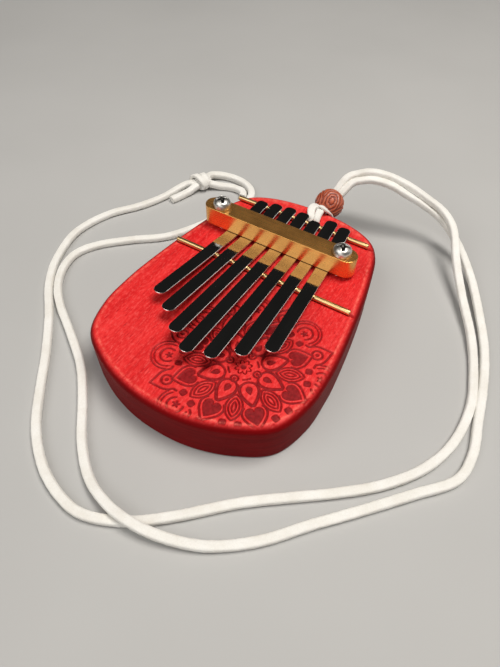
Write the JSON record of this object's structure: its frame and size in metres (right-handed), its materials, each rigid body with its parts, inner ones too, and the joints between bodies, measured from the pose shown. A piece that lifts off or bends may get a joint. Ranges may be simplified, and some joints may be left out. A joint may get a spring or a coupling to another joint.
{
  "type": "kalimba",
  "caption": "Pocket kalimba: red-stained solid wood board with steel tines clamped over brass bridge rods by a screwed bar, plucked by thumb, on a suede neck lanyard with a bead.",
  "frame": {"origin": "on the board's flat back, under the middle of the board without its lanyard", "axes": "+Z out of the board towards the tines, +Y towards the rear end with the lanyard hole, +X to the right along the pressure bar"},
  "size_m": [0.1706, 0.1635, 0.0282],
  "materials": {
    "board_wood": "red stain, satin",
    "brass": "polished",
    "tine_steel": "polished spring steel, mirror-bright, with cut edges",
    "screw_steel": "nickel plated",
    "bead_wood": "carved, oiled",
    "suede": "white suede"
  },
  "bodies": {
    "base": {"board": "board_wood", "pressure_bar": "brass", "screw_left": "screw_steel", "screw_right": "screw_steel", "front_bridge_rod": "brass", "rear_bridge_rod": "brass", "tine_1_clamped": "tine_steel", "tine_2_clamped": "tine_steel", "tine_3_clamped": "tine_steel", "tine_4_clamped": "tine_steel", "tine_5_clamped": "tine_steel", "tine_6_clamped": "tine_steel", "tine_7_clamped": "tine_steel", "bead": "bead_wood", "lanyard_strand_a": "suede", "lanyard_strand_b": "suede", "lanyard_bight": "suede", "lanyard_knot": "suede", "lanyard_tail_short": "suede", "lanyard_tail_long": "suede"},
    "tine_1": {"tine_1_key": "tine_steel"},
    "tine_2": {"tine_2_key": "tine_steel"},
    "tine_3": {"tine_3_key": "tine_steel"},
    "tine_4": {"tine_4_key": "tine_steel"},
    "tine_5": {"tine_5_key": "tine_steel"},
    "tine_6": {"tine_6_key": "tine_steel"},
    "tine_7": {"tine_7_key": "tine_steel"}
  },
  "joints": [
    {"name": "tine_1_pluck", "type": "hinge", "parent": "base", "child": "tine_1", "pos_m": [-0.02, 0.0081, 0.01847], "axis": [0.9977, -0.068, 0], "range_deg": [-4, 4.5], "stiffness_Nm_per_rad": 2.78},
    {"name": "tine_2_pluck", "type": "hinge", "parent": "base", "child": "tine_2", "pos_m": [-0.01356, 0.0081, 0.01847], "axis": [0.9992, -0.0401, 0], "range_deg": [-4, 4.5], "stiffness_Nm_per_rad": 2.37},
    {"name": "tine_3_pluck", "type": "hinge", "parent": "base", "child": "tine_3", "pos_m": [-0.00713, 0.0081, 0.01847], "axis": [0.9999, -0.0131, 0], "range_deg": [-4, 4.5], "stiffness_Nm_per_rad": 2.01},
    {"name": "tine_4_pluck", "type": "hinge", "parent": "base", "child": "tine_4", "pos_m": [-0.00076, 0.0081, 0.01847], "axis": [1, 0.0099, 0], "range_deg": [-4, 4.5], "stiffness_Nm_per_rad": 1.79},
    {"name": "tine_5_pluck", "type": "hinge", "parent": "base", "child": "tine_5", "pos_m": [0.0056, 0.0081, 0.01847], "axis": [0.9995, 0.033, 0], "range_deg": [-4, 4.5], "stiffness_Nm_per_rad": 1.89},
    {"name": "tine_6_pluck", "type": "hinge", "parent": "base", "child": "tine_6", "pos_m": [0.01197, 0.0081, 0.01847], "axis": [0.9984, 0.056, 0], "range_deg": [-4, 4.5], "stiffness_Nm_per_rad": 2.19},
    {"name": "tine_7_pluck", "type": "hinge", "parent": "base", "child": "tine_7", "pos_m": [0.01834, 0.0081, 0.01847], "axis": [0.9969, 0.079, 0], "range_deg": [-4, 4.5], "stiffness_Nm_per_rad": 2.61}
  ]
}
